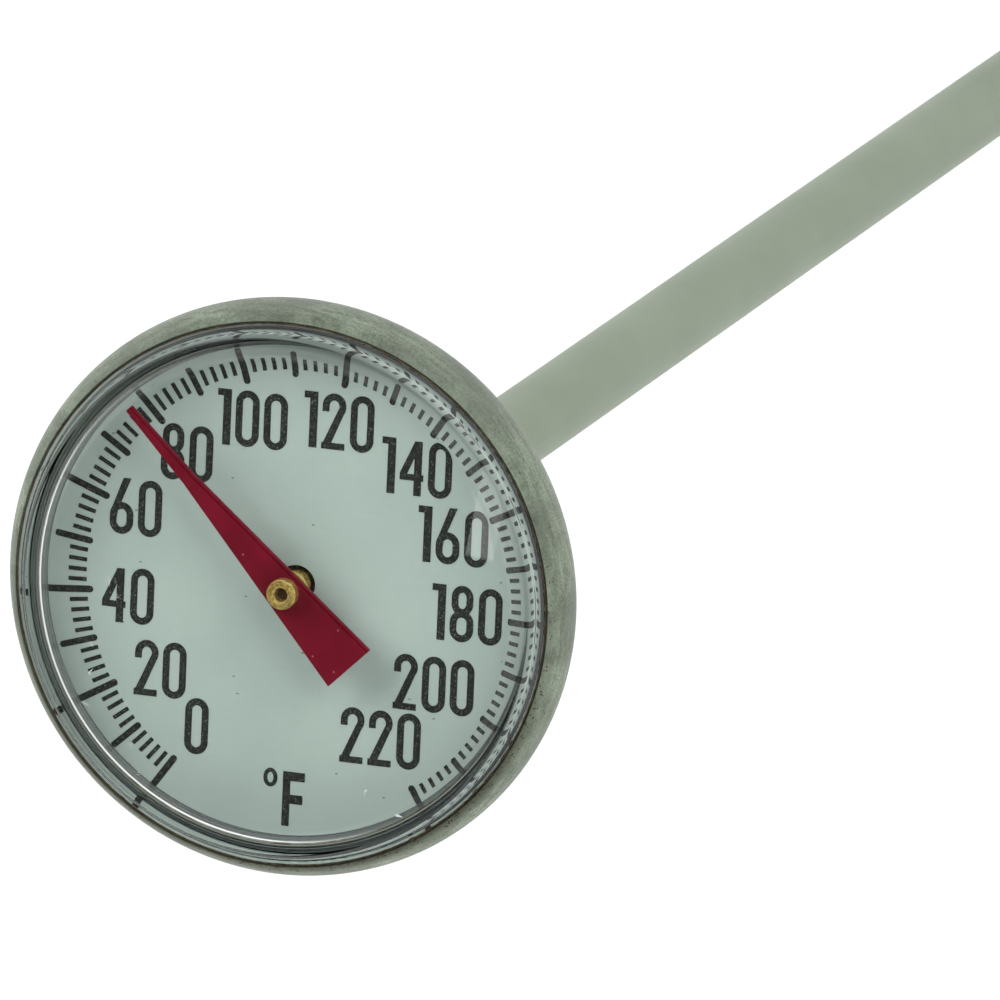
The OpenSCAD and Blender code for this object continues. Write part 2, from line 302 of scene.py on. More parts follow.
def bezel_steel():
    """Rolled satin stainless with streaks and specks of tarnish and soil by the lip, painted shade low on the
    roll, and dark painted shade inside the roll, darkest towards +X.
    """
    s = Shader("bezel_steel")
    depth, up = s.ring_depth()
    streak = s.noise(s.round_place(0.5, 7.0, 7.0), 1.0, 5.0, 0.75)
    speck = s.noise(per_mm(s), 9.0, 3.0, 0.8)
    cloud = s.noise(per_mm(s), 0.22, 4.0, 0.6)
    tone = s.mix(0.5, s.ramp(speck, (0.32, 0.20), (0.66, 0.78)), s.ramp(streak, (0.36, 0.20), (0.64, 0.80)))
    steel = s.mix(1.0, tone, (0.52, 0.60, 0.465), "MULTIPLY")
    steel = s.mix(s.ramp(cloud, (0.40, 0.0), (0.62, 0.7)), steel, (0.165, 0.185, 0.155))
    # Painted shade: the steel darkens by up to a seventh from high on the roll down to its belly and below.
    rise = s.math("DIVIDE", up, SECTION_R)
    steel = s.mix(1.0, steel, s.ramp(rise, (0.0, 0.86), (0.55, 1.0)), "MULTIPLY")
    at_lip = s.ramp(rise, (0.50, 0.0), (0.68, 1.0))
    grimy = s.ramp(speck, (0.35, 0.35), (0.6, 0.9))
    film = s.math("MULTIPLY", s.math("MULTIPLY", at_lip, s.along(Y, 3, -9)), grimy)
    steel = s.mix(film, steel, (0.085, 0.085, 0.055))
    # Painted shade inside the roll: a flat, near-black colour, lighter only towards -X and darkest towards +X.
    inside = s.math("LESS_THAN", depth, SECTION_R - SHEET / 2)
    painted_inner_shade = s.mix(s.along(X, -11.5, -5), (0.135, 0.155, 0.135), (0.030, 0.034, 0.036))
    s.set("Base Color", s.mix(inside, steel, painted_inner_shade))
    s.set("Metallic", s.math("SUBTRACT", 1.0, inside))
    s.set("Roughness", s.mix(inside, s.ramp(speck, (0.3, 0.54), (0.7, 0.38)), (0.7, 0.7, 0.7)))
    s.bump(s.math("ADD", streak, speck), 0.014, 0.7)
    return s.material


def stem_steel():
    """Pale drawn tube with faint rings from centreless grinding."""
    s = Shader("stem_steel", Metallic=1.0)
    rings = s.noise(s.stretched(60, 60, 9000), 1.0, 4.0, 0.7)
    cloud = s.noise(per_mm(s), 0.12, 3.0, 0.5)
    tone = s.math("ADD", s.math("MULTIPLY", rings, 0.35), s.math("MULTIPLY", cloud, 0.65))
    s.set("Base Color", s.ramp(tone, (0.25, (0.210, 0.254, 0.184)), (0.75, (0.270, 0.318, 0.240))))
    s.set("Roughness", s.ramp(rings, (0.3, 0.42), (0.7, 0.52)))
    s.bump(rings, 0.002, 0.4)
    return s.material


def fitting_steel():
    """Turned stainless, with fine tool rings."""
    s = Shader("fitting_steel", Metallic=1.0)
    rings = s.noise(s.stretched(300, 300, 16000), 1.0, 3.0, 0.6)
    s.set("Base Color", s.ramp(rings, (0.3, (0.28, 0.30, 0.265)), (0.7, (0.42, 0.44, 0.39))))
    s.set("Roughness", s.ramp(rings, (0.3, 0.30), (0.7, 0.42)))
    s.bump(rings, 0.004, 0.5)
    return s.material


def spring_steel():
    """Dull steel of springs, washers and the coil."""
    s = Shader("spring_steel", Metallic=1.0)
    grain = s.noise(per_mm(s), 4.0, 4.0, 0.6)
    s.set("Base Color", s.ramp(grain, (0.3, (0.30, 0.30, 0.29)), (0.7, (0.44, 0.44, 0.43))))
    s.set("Roughness", s.ramp(grain, (0.3, 0.5), (0.7, 0.38)))
    s.bump(grain, 0.004, 0.4)
    return s.material


def brass():
    """Turned brass, pitted and darker in its hollows."""
    s = Shader("brass", Metallic=0.85)
    rings = s.noise(s.round_place(0.06, 14.0, 14.0), 1.0, 3.0, 0.6)
    pits = s.noise(per_mm(s), 6.0, 4.0, 0.7)
    colour = s.ramp(pits, (0.38, (0.34, 0.17, 0.025)), (0.48, (0.95, 0.64, 0.16)), (0.62, (1.0, 0.88, 0.42)))
    turned = s.ramp(rings, (0.35, (0.50, 0.28, 0.05)), (0.6, (1.0, 0.82, 0.32)))
    s.set("Base Color", s.mix(0.3, colour, turned))
    s.set("Roughness", s.ramp(pits, (0.3, 0.46), (0.7, 0.24)))
    s.bump(s.math("ADD", pits, s.math("MULTIPLY", rings, 0.6)), 0.035, 0.9)
    return s.material


def rust():
    """Brown rust on the cut end of the shaft."""
    s = Shader("rust")
    grain = s.noise(per_mm(s), 7.0, 4.0, 0.7)
    s.set("Base Color", s.ramp(grain, (0.35, (0.03, 0.015, 0.008)), (0.65, (0.17, 0.085, 0.035))))
    s.set("Roughness", s.ramp(grain, (0.3, 0.8), (0.7, 0.6)))
    s.bump(grain, 0.02, 0.8)
    return s.material


def crystal_plastic():
    """Clear polished plastic."""
    s = Shader("crystal", Metallic=0.0, Roughness=0.0, IOR=1.58)
    s.set("Transmission Weight", 1.0)
    s.set("Base Color", (0.97, 0.99, 0.985))
    return s.material


def sealant():
    """Pale sealant, brown and dirty where it meets the air."""
    s = Shader("sealant")
    dirt = s.noise(s.round_place(1.5, 6.0, 6.0), 1.0, 5.0, 0.75)
    brown = s.ramp(dirt, (0.36, (0.02, 0.016, 0.01)), (0.5, (0.10, 0.065, 0.035)), (0.7, (0.26, 0.19, 0.11)))
    near_air = s.along(Z, SEAL_TOP_Z - 0.16, SEAL_TOP_Z - 0.08)
    s.set("Base Color", s.mix(near_air, (0.34, 0.37, 0.32), brown))
    s.set("Roughness", s.ramp(dirt, (0.3, 0.8), (0.7, 0.5)))
    s.bump(dirt, 0.03, 0.8)
    return s.material


def soil():
    """Black-brown dirt that sticks along the lip."""
    s = Shader("soil")
    grain = s.noise(per_mm(s), 6.0, 4.0, 0.7)
    black = (0.010, 0.009, 0.006)
    brown = (0.045, 0.034, 0.018)
    tan = (0.15, 0.11, 0.06)
    s.set("Base Color", s.ramp(grain, (0.35, black), (0.55, brown), (0.75, tan)))
    s.set("Roughness", s.ramp(grain, (0.3, 0.9), (0.7, 0.65)))
    s.bump(grain, 0.02, 0.8)
    return s.material


def scuffed_plastic():
    """Whitened plastic in a scratch."""
    s = Shader("scuffed_plastic")
    grain = s.noise(per_mm(s), 12.0, 3.0, 0.7)
    s.set("Base Color", s.ramp(grain, (0.35, (0.50, 0.56, 0.54)), (0.65, (0.82, 0.86, 0.84))))
    s.set("Roughness", s.ramp(grain, (0.3, 0.5), (0.7, 0.75)))
    s.bump(grain, 0.01, 0.8)
    return s.material


def gasket():
    """Black rubber."""
    s = Shader("gasket")
    grain = s.noise(per_mm(s), 3.0, 3.0)
    s.set("Base Color", s.ramp(grain, (0.3, 0.03), (0.7, 0.07)))
    s.set("Roughness", s.ramp(grain, (0.3, 0.7), (0.7, 0.55)))
    s.bump(grain, 0.01, 0.5)
    return s.material


def dial_enamel():
    """Pale grey-green enamel with soft clouds and dust specks."""
    s = Shader("dial", Metallic=0.0)
    cloud = s.noise(per_mm(s), 0.16, 3.0, 0.5)
    grain = s.noise(s.stretched(900, 5000, 900), 1.0, 3.0, 0.6)
    base = s.ramp(cloud, (0.3, (0.44, 0.535, 0.49)), (0.7, (0.50, 0.595, 0.545)))
    base = s.mix(0.12, base, s.ramp(grain, (0.3, (0.38, 0.47, 0.41)), (0.7, (0.55, 0.64, 0.58))))
    fine = s.specks(s.stretched(1000, 780, 1000), 0.95, 0.022, 0.4)
    coarse = s.specks(s.stretched(700, 1300, 900), 0.30, 0.016, 0.5)
    dust = s.math("MAXIMUM", s.math("MULTIPLY", fine, 0.35), s.math("MULTIPLY", coarse, 0.7))
    base = s.mix(dust, base, (0.10, 0.12, 0.10))
    s.set("Base Color", base)
    s.set("Roughness", s.ramp(grain, (0.3, 0.42), (0.7, 0.34)))
    s.bump(grain, 0.003, 0.4)
    return s.material


def dial_print():
    """Black screen print, with pinholes and grains where the enamel shows through."""
    s = Shader("dial_print", Metallic=0.0)
    grain = s.noise(per_mm(s), 9.0, 3.0, 0.8)
    holes = s.specks(s.stretched(1000, 1150, 1000), 5.5, 0.12, 0.6)
    black = (0.020, 0.022, 0.019)
    worn = (0.050, 0.055, 0.049)
    thin = (0.22, 0.24, 0.22)
    ink = s.ramp(grain, (0.50, black), (0.62, worn), (0.74, thin))
    s.set("Base Color", s.mix(s.math("MULTIPLY", holes, grain), ink, (0.40, 0.45, 0.42)))
    s.set("Roughness", s.ramp(grain, (0.3, 0.60), (0.7, 0.75)))
    s.set("Specular IOR Level", 0.3)
    s.bump(grain, 0.006, 0.5)
    return s.material


def pointer_red():
    """Crimson lacquer, a little cloudy, with pale dust."""
    s = Shader("pointer_red", Metallic=0.0)
    cloud = s.noise(per_mm(s), 0.5, 3.0, 0.5)
    grain = s.noise(per_mm(s), 8.0, 2.0, 0.6)
    base = s.ramp(cloud, (0.3, (0.132, 0.0018, 0.010)), (0.7, (0.198, 0.0034, 0.019)))
    dust = s.specks(s.stretched(1000, 820, 1000), 0.8, 0.032, 0.35)
    s.set("Base Color", s.mix(s.math("MULTIPLY", dust, 0.5), base, (0.6, 0.30, 0.34)))
    s.set("Roughness", s.ramp(grain, (0.3, 0.36), (0.7, 0.48)))
    s.set("Specular IOR Level", 0.35)
    s.bump(grain, 0.003, 0.4)
    return s.material


def guide_plastic():
    """Off-white plastic."""
    s = Shader("guide_plastic")
    grain = s.noise(per_mm(s), 2.0, 2.0)
    s.set("Base Color", s.ramp(grain, (0.3, (0.80, 0.79, 0.75)), (0.7, (0.88, 0.87, 0.83))))
    s.set("Roughness", s.ramp(grain, (0.3, 0.5), (0.7, 0.4)))
    return s.material


MATERIALS = {
    "bezel_steel": bezel_steel(),
    "stem_steel": stem_steel(),
    "fitting_steel": fitting_steel(),
    "spring_steel": spring_steel(),
    "brass": brass(),
    "crystal": crystal_plastic(),
    "sealant": sealant(),
    "gasket": gasket(),
    "dial": dial_enamel(),
    "dial_print": dial_print(),
    "pointer_red": pointer_red(),
    "guide_plastic": guide_plastic(),
}
for subpart in frame["record"]["subparts"]:
    slots = frame["nodes"][subpart["node"]].data.materials
    slots.clear()
    slots.append(MATERIALS[subpart["material_slot"]])


def piece(name, bm, body, slot, replaced=()):
    """A visual piece in its slot's own material."""
    return finish_mesh(name, bm, body, MATERIALS[slot], replaced)


# ---------------------------------------------------------------- bezel

LIP_R = 13.15
LIP_ROUND = 0.07
LIP_ANGLE = math.degrees(math.acos((LIP_R + LIP_ROUND - SECTION_X) / (SECTION_R - LIP_ROUND)))
HEM_ANGLE = -80


def bezel_profile():
    """Rolled sheet from the hem at the back to the rounded cut of the lip."""
    inner = SECTION_R - SHEET
    inner_angle = math.degrees(math.acos((LIP_R - SECTION_X) / inner))
    x = LIP_R + LIP_ROUND
    z = BELLY_Z + (SECTION_R - LIP_ROUND) * math.sin(math.radians(LIP_ANGLE))
    outline = arc(SECTION_X, BELLY_Z, SECTION_R, HEM_ANGLE, LIP_ANGLE, 64)
    outline += arc(x, z, LIP_ROUND, LIP_ANGLE, 180, 8)[1:]
    outline += arc(SECTION_X, BELLY_Z, inner, inner_angle, HEM_ANGLE, 48)
    return outline


piece("bezel_rim", lathe(bezel_profile(), 288), "head", "bezel_steel", ["bezel_ring"])


# ---------------------------------------------------------------- crystal

DOME_R = 50.7
CRYSTAL_T = 0.8
SHOULDER_R = 0.42
SHOULDER_END_R = 12.77
SHOULDER_SLOPE = 77
ROOT_R = 0.6
NECK_R = 13.09
BRIM_Z = BELLY_Z + 1.1
CAVITY_R = 12.6
CAVITY_CORNER = 1.8
FOOT_R = 12.9
FOOT_GAP = 0.006
FOOT_STEP = 0.06


def dome_side(wall_r, dome_r, round_r, dome_z):
    """Centre of the round between a dome and a wall, and the angle at which it meets the dome."""
    x = wall_r - round_r
    z = dome_z + math.sqrt((dome_r - round_r) ** 2 - x * x)
    return x, z, math.degrees(math.atan2(z - dome_z, x))


def crystal_profile():
    """Dome, shoulder, hollow root, brim and foot outside; wall and dome inside."""
    dome_z = CRYSTAL_TOP_Z - DOME_R
    slope = math.radians(SHOULDER_SLOPE)
    wall = SHOULDER_END_R + SHOULDER_R * (1 - math.sin(slope))
    x, z, meet = dome_side(wall, DOME_R, SHOULDER_R, dome_z)
    reach = SHOULDER_R + ROOT_R
    root_x = x + reach * math.sin(slope)
    root_z = z + reach * math.cos(slope)
    neck_angle = 180 + math.degrees(math.acos((root_x - NECK_R) / ROOT_R))
    outline = arc(0, dome_z, DOME_R, 90, meet, 60)
    outline += arc(x, z, SHOULDER_R, meet, 90 - SHOULDER_SLOPE, 24)[1:]
    outline += arc(root_x, root_z, ROOT_R, 270 - SHOULDER_SLOPE, neck_angle, 20)[1:]
    foot_z = DIAL_Z + FOOT_GAP
    outline += [(NECK_R, BRIM_Z), (BRIM_R, BRIM_Z), (BRIM_R, foot_z), (FOOT_R, foot_z)]
    outline += [(FOOT_R, foot_z + FOOT_STEP), (CAVITY_R, foot_z + FOOT_STEP)]
    x, z, meet = dome_side(CAVITY_R, DOME_R - CRYSTAL_T, CAVITY_CORNER, dome_z)
    outline += arc(x, z, CAVITY_CORNER, 0, meet, 40)
    outline += arc(0, dome_z, DOME_R - CRYSTAL_T, meet, 90, 56)[1:]
    return outline


dome = piece("crystal_dome", lathe(crystal_profile(), 360), "head", "crystal", ["crystal"])
dome.visible_shadow = False


# ---------------------------------------------------------------- dial print

DIGIT_W = 1.17
ONE_W = 0.68
DIGIT_H = 2.73
STROKE = 0.34
DIGIT_GAP = 0.23
INK = 0.015
INK_ROOT = 0.01

# The print sits off the shaft's axis, and the short lines lie a little higher than the long ones
NUMBER_CENTRE = Vector((0.17, -0.43))
SCALE_CENTRE = Vector((0.27, -0.5))
SHORT_RISE = 0.2


def loop(x, y, w, h, stroke, bend=0.6):
    """Closed oval stroke, straight along its sides, as a ring of quads. x, y is its lower left corner."""
    bend = min(bend, h / 2)

    def ring(inset):
        rx = w / 2 - inset
        ry = bend - inset
        cx = x + w / 2
        top = arc(cx, y + h - bend, rx, 0, 180, 20, ry)
        bottom = arc(cx, y + bend, rx, 180, 360, 20, ry)
        return top + bottom

    outer, inner = ring(0), ring(stroke)
    n = len(outer)
    quads = [[outer[i], outer[(i + 1) % n], inner[(i + 1) % n], inner[i]] for i in range(n)]
    return [q for q in quads if (Vector(q[0]) - Vector(q[1])).length > 1e-6]


def bar(x0, y0, x1, y1):
    """Rectangle between two corners."""
    return [(x0, y0), (x1, y0), (x1, y1), (x0, y1)]


def zero():
    return loop(0, 0, DIGIT_W, DIGIT_H, STROKE)


def one():
    flag = 0.29
    return [bar(flag, 0, flag + 0.39, DIGIT_H - 0.03), bar(0, DIGIT_H - 0.36, flag + 0.1, DIGIT_H - 0.03)]


def two():
    """Round top that runs tangent into a straight diagonal, on a flat base."""
    ry = 0.62
    mid = (DIGIT_W / 2, DIGIT_H - ry - 0.02)
    outer = arc(*mid, DIGIT_W / 2, 180, -37, 24, ry)
    inner = arc(*mid, DIGIT_W / 2 - STROKE, 180, -37, 24, ry - STROKE)
    foot_y = DIGIT_H - 0.92
    strip = [[outer[i], outer[i + 1], inner[i + 1], inner[i]] for i in range(24)]
    strip.append(bar(0, foot_y, STROKE, mid[1]))
    strip.append([outer[-1], inner[-1], (0.0, 0.12), (0.0, 0.0), (0.36, 0.0)])
    strip.append(bar(0, 0, DIGIT_W - 0.02, STROKE - 0.02))
    return strip


def four():
    bar_y = 0.72
    stem_x = 0.70
    return [
        bar(stem_x, 0, stem_x + 0.37, DIGIT_H - 0.1),
        bar(0, bar_y, DIGIT_W, bar_y + 0.31),
        [(0, bar_y), (0.36, bar_y + 0.31), (stem_x, 1.82), (stem_x, DIGIT_H - 0.1), (0, bar_y + 0.33)],
    ]


def six():
    bowl_h = 1.55
    diagonal = [(0.0, 0.75), (0.34, 0.75), (0.40, 1.18), (1.00, DIGIT_H), (0.62, DIGIT_H), (0.03, 1.08)]
    return loop(0, 0, DIGIT_W, bowl_h, STROKE, 0.62) + [diagonal]


def eight():
    lower = loop(0, 0, DIGIT_W, 1.53, STROKE, 0.60)
    upper = loop(0.05, DIGIT_H - 1.46, DIGIT_W - 0.1, 1.46, STROKE, 0.58)
    return lower + upper


def letter_f():
    return [bar(0, 0, 0.37, 2.65), bar(0, 2.21, 1.08, 2.65), bar(0, 1.10, 1.0, 1.54)]


def moved(outlines, dx, dy):
    """The same outlines, shifted."""
    return [[(x + dx, y + dy) for x, y in outline] for outline in outlines]


GLYPHS = {
    "0": (zero, DIGIT_W),
    "1": (one, ONE_W),
    "2": (two, DIGIT_W),
    "4": (four, DIGIT_W),
    "6": (six, DIGIT_W),
    "8": (eight, DIGIT_W),
}

# Middle of each number, from the middle of the numbers' own circle
NUMBER_PLACES = {
    0: (-4.82, -7.03),
    20: (-6.73, -4.46),
    40: (-8.47, -1.05),
    60: (-8.25, 3.25),
    80: (-5.83, 6.17),
    100: (-2.67, 8.15),
    120: (1.6, 8.5),
    140: (5.53, 6.72),
    160: (7.45, 3.6),
    180: (8.3, -0.08),
    200: (6.82, -3.66),
    220: (4.3, -6.55),
}


def number(value, x, y):
    """Outlines of a number whose middle is at x, y."""
    digits = str(value)
    width = sum(GLYPHS[d][1] for d in digits) + DIGIT_GAP * (len(digits) - 1)
    outlines = []
    pen = x - width / 2
    for d in digits:
        shape, advance = GLYPHS[d]
        outlines += moved(shape(), pen, y - DIGIT_H / 2)
        pen += advance + DIGIT_GAP
    return outlines


def numerals():
    """All numbers, and the degree sign with its F at the bottom."""
    outlines = []
    for value, (x, y) in NUMBER_PLACES.items():
        outlines += number(value, NUMBER_CENTRE.x + x, NUMBER_CENTRE.y + y)
    outlines += moved(letter_f(), NUMBER_CENTRE.x - 0.42, NUMBER_CENTRE.y - 11.35)
    outlines += loop(NUMBER_CENTRE.x - 1.40, NUMBER_CENTRE.y - 9.53, 0.70, 0.92, 0.2, 0.46)
    return outlines


SCALE_TOP = 220
SCALE_SWEEP = 291.5
SCALE_STRETCH = 0.06
PRINT_TURN = 0.45

# Inner end, outer end and width of the lines at every 20, 10 and 2 degrees of temperature
LONG_TICK = (10.52, 12.95, 0.33)
MIDDLE_TICK = (10.67, 12.3, 0.31)
SHORT_TICK = (10.68, 11.58, 0.2)


def scale_angle(t):
    """Direction of a temperature, clockwise from the top. The scale widens a little as it warms."""
    x = t / SCALE_TOP
    return SCALE_SWEEP * (x * (1 - SCALE_STRETCH * (1 - x)) - 0.5)


def tick(angle, r0, r1, width, round_ends):
    """Outline of one radial line, with square or round ends."""
    out = polar(angle)
    side = Vector((out.y, -out.x)) * width / 2
    a, b = SCALE_CENTRE + out * r0, SCALE_CENTRE + out * r1
    if not round_ends:
        return [tuple(p) for p in (a - side, a + side, b + side, b - side)]
    points = []
    for middle, start in ((a, 0), (b, math.pi)):
        for i in range(9):
            turn = start + math.pi * i / 8
            points.append(tuple(middle + side * math.cos(turn) - out * (width / 2) * math.sin(turn)))
    return points


def scale_marks():
    """A line for every 2 degrees of temperature, longer at the tens and twenties."""
    outlines = []
    for t in range(0, SCALE_TOP + 1, 2):
        angle = scale_angle(t) + PRINT_TURN
        if t % 20 == 0:
            outlines.append(tick(angle, *LONG_TICK, True))
        elif t % 10 == 0:
            outlines.append(tick(angle, *MIDDLE_TICK, True))
        else:
            inner, outer, width = SHORT_TICK
            rise = SHORT_RISE * polar(angle).y
            outlines.append(tick(angle, inner + rise, outer + rise, width, False))
    return outlines


piece("dial_numerals", prism(numerals(), DIAL_Z - INK_ROOT, DIAL_Z + INK), "head", "dial_print")
piece("dial_scale", prism(scale_marks(), DIAL_Z - INK_ROOT, DIAL_Z + INK), "head", "dial_print")


# ---------------------------------------------------------------- pointer, hub and shaft end

READING = 79
POINTER_REACH = 11.4
POINTER_TAIL = 4.7
TIP_HALF = 0.2
WAIST_Y = 7
WAIST_HALF = 0.36
TAIL_HALF = 1.4
EDGE_ROUND = 0.03
CREASE_IN = 0.17
CREASE_HALF = 0.05
CREASE_DEEP = 0.07
HUB_R = 0.72
HUB_FOOT_R = 0.83
HUB_WAIST_R = 0.64
HUB_NECK_R = 0.55
HUB_EYE_R = 0.32
HUB_FOOT_T = 0.3
HUB_BORE_R = HUB_EYE_R + 0.08
HUB_CHAMFER = 0.04
BEAD_EDGE = 0.03
BEAD_STEP = 0.03


def loft(sections):
    """Closed solid through rings with the same number of points."""
    bm = bmesh.new()
    rings = [[bm.verts.new(p) for p in section] for section in sections]
    n = len(rings[0])
    for lower, upper in zip(rings, rings[1:]):
        for i in range(n):
            j = (i + 1) % n
            bm.faces.new((lower[i], lower[j], upper[j], upper[i]))
    bm.faces.new(rings[0])
    bm.faces.new(rings[-1])
    return bm


def pointer_section(y, half):
    """Section across the flat needle: rounded edges, and a stamped crease along its right-hand side."""
    top = POINTER_TOP_Z
    low = top - EDGE_ROUND
    inner = half - EDGE_ROUND
    crease = half - min(CREASE_IN, half * 0.6)
    width = min(CREASE_HALF, half * 0.2)
    points = [(-half, POINTER_Z), (-half, low), (-inner, top), (crease - width, top)]
    points += [(crease, top - CREASE_DEEP * width / CREASE_HALF), (crease + width, top), (inner, top)]
    points += [(half, low), (half, POINTER_Z)]
    return [(x, y, z) for x, z in points]


def pierced(bm, radius):
    """The same solid with a round hole along the Z axis."""
    below, above = POINTER_Z - 1, POINTER_TOP_Z + 1
    drill = lathe([(0, below), (radius, below), (radius, above), (0, above)], 64)
    parts = []
    for shape in (bm, drill):
        bmesh.ops.recalc_face_normals(shape, faces=shape.faces)
        mesh = bpy.data.meshes.new("cut")
        shape.to_mesh(mesh)
        shape.free()
        parts.append(bpy.data.objects.new("cut", mesh))
        bpy.context.collection.objects.link(parts[-1])
    cut = parts[0].modifiers.new("hole", "BOOLEAN")
    cut.operation = "DIFFERENCE"
    cut.object = parts[1]
    result = bmesh.new()
    result.from_object(parts[0], bpy.context.evaluated_depsgraph_get())
    for part in parts:
        bpy.data.meshes.remove(part.data)
    return result


def pointer_needle():
    """Flat needle from its wide tail to its narrow tip, turned to the reading."""
    stations = [(-POINTER_TAIL, TAIL_HALF - EDGE_ROUND), (-POINTER_TAIL + EDGE_ROUND, TAIL_HALF)]
    stations += [(WAIST_Y, WAIST_HALF)]
    stations += [(POINTER_REACH - EDGE_ROUND, TIP_HALF), (POINTER_REACH, TIP_HALF - EDGE_ROUND)]
    bm = pierced(loft([pointer_section(y, half) for y, half in stations]), HUB_NECK_R)
    turn = Matrix.Rotation(-math.radians(scale_angle(READING)), 3, "Z")
    bmesh.ops.transform(bm, matrix=turn.to_4x4(), verts=bm.verts)
    piece("pointer_needle", bm, "indicator", "pointer_red", ["pointer"])


def hub_profile():
    """Foot flange, waist under the needle, neck through it, and a rolled bead with turned steps."""
    bead = (HUB_R - HUB_EYE_R) / 2
    bead_z = HUB_TOP_Z - bead
    foot_top = HUB_FOOT_Z + HUB_FOOT_T
    foot_edge = HUB_FOOT_R - HUB_CHAMFER
    outline = [(HUB_BORE_R, HUB_FOOT_Z), (foot_edge, HUB_FOOT_Z), (HUB_FOOT_R, HUB_FOOT_Z + HUB_CHAMFER)]
    outline += [(HUB_FOOT_R, foot_top - HUB_CHAMFER), (foot_edge, foot_top), (HUB_WAIST_R, foot_top)]
    outline += [(HUB_WAIST_R, POINTER_Z), (HUB_NECK_R, POINTER_Z), (HUB_NECK_R, POINTER_TOP_Z)]
    outline += [(HUB_R - BEAD_EDGE, POINTER_TOP_Z), (HUB_R, POINTER_TOP_Z + BEAD_EDGE)]
    for i, (x, z) in enumerate(arc(0, 0, 1, 0, 180, 24)):
        r = bead - BEAD_STEP if i % 6 in (2, 3) else bead
        outline.append((HUB_EYE_R + bead + x * r, bead_z + z * r))
    outline.append((HUB_EYE_R, SHAFT_TOP_Z))
    outline.append((HUB_BORE_R, SHAFT_TOP_Z))
    return outline


def pitted(a, k):
    """Small uneven dents, so that the bead doesn't look machine perfect."""
    swing = noise.noise(Vector((math.cos(a) * 7, math.sin(a) * 7, k * 0.9)))
    return 0.014 * swing, 0.014 * swing


piece("hub_eyelet", lathe(hub_profile(), 128, pitted), "indicator", "brass", ["pointer_hub"])
pointer_needle()


def shaft_end():
    """Rusty, slightly domed end of the shaft inside the eyelet."""
    end_r = HUB_EYE_R - 0.02
    outline = [(0, SHAFT_TOP_Z - 0.02), (end_r, SHAFT_TOP_Z - 0.02)]
    outline += [(x, SHAFT_TOP_Z + z) for x, z in arc(0, 0, end_r, 20, 90, 10, 0.10)]
    finish_mesh("shaft_end", lathe(outline, 64, pitted), "indicator", rust())


shaft_end()


# ---------------------------------------------------------------- dirt and scratches

rng = random.Random(7)
DIRTY_SIDE = -55
DIRT_LEAST = 0.012
DIRT_MOST = 0.15
CRUMBS = 240
CRUMB_SPREAD = 34
CRUMB_REACH = 4.5
CRUMB_SIZES = (0.02, 0.06)


def lip_dirt():
    """Uneven bead of dirt in the groove between crystal and lip, thickest at the bottom right."""
    bead = [(math.cos(math.radians(a)), math.sin(math.radians(a))) for a in range(0, 360, 36)]

    def lumpy(a, k):
        heavy = 0.5 + 0.5 * math.cos(a - math.radians(DIRTY_SIDE))
        fine = 0.5 + 0.5 * noise.noise(Vector((math.cos(a), math.sin(a), 0.2)) * 42)
        broad = 0.5 + 0.5 * noise.noise(Vector((math.cos(a), math.sin(a), 3.1)) * 9)
        size = DIRT_LEAST + DIRT_MOST * heavy * broad * fine ** 2
        return bead[k][0] * size, bead[k][1] * size

    bm = lathe([(LIP_R - 0.02, LIP_Z - 0.06)] * len(bead), 1080, lumpy)
    finish_mesh("lip_dirt", bm, "head", soil(), sharp=60)


def crumb(bm, place, normal, size):
    """Small flattened lump with uneven corners."""
    made = bmesh.ops.create_icosphere(bm, subdivisions=1, radius=size)["verts"]
    turn = normal.to_track_quat("Z", "Y").to_matrix()
    for v in made:
        grow = rng.uniform(0.6, 1.3)
        v.co = place + turn @ Vector((v.co.x * grow, v.co.y * grow, v.co.z * 0.45 * grow))


def crumbs():
    """Crumbs of dirt on the roll beside the lip."""
    bm = bmesh.new()
    for _ in range(CRUMBS):
        a = math.radians(DIRTY_SIDE + rng.gauss(0, CRUMB_SPREAD))
        t = math.radians(LIP_ANGLE - abs(rng.gauss(0, CRUMB_REACH)))
        normal = Vector((math.cos(t) * math.cos(a), math.cos(t) * math.sin(a), math.sin(t)))
        ring = Vector((math.cos(a) * SECTION_X, math.sin(a) * SECTION_X, BELLY_Z))
        crumb(bm, ring + normal * SECTION_R, normal, rng.uniform(*CRUMB_SIZES))
    finish_mesh("lip_crumbs", bm, "head", soil(), sharp=60)


# Scratches on the dome: distance from the middle, direction clockwise from the top, length, width and turn
SCRATCHES = (
    (11.0, -124, 0.80, 0.05, 60),
    (10.4, -139, 0.50, 0.04, 20),
    (9.9, -117, 0.35, 0.08, -25),
    (9.4, -109, 0.25, 0.09, 60),
    (11.7, 146, 0.50, 0.11, -35),
    (10.1, 150, 0.30, 0.09, 50),
    (8.1, -89, 0.60, 0.05, 85),
    (11.2, -145, 0.40, 0.06, 35),
    (9.1, -130, 0.30, 0.03, -70),
    (7.6, -94, 0.30, 0.04, 10),
)
STRANDS = 3
SCRATCH_DEEP = 0.004


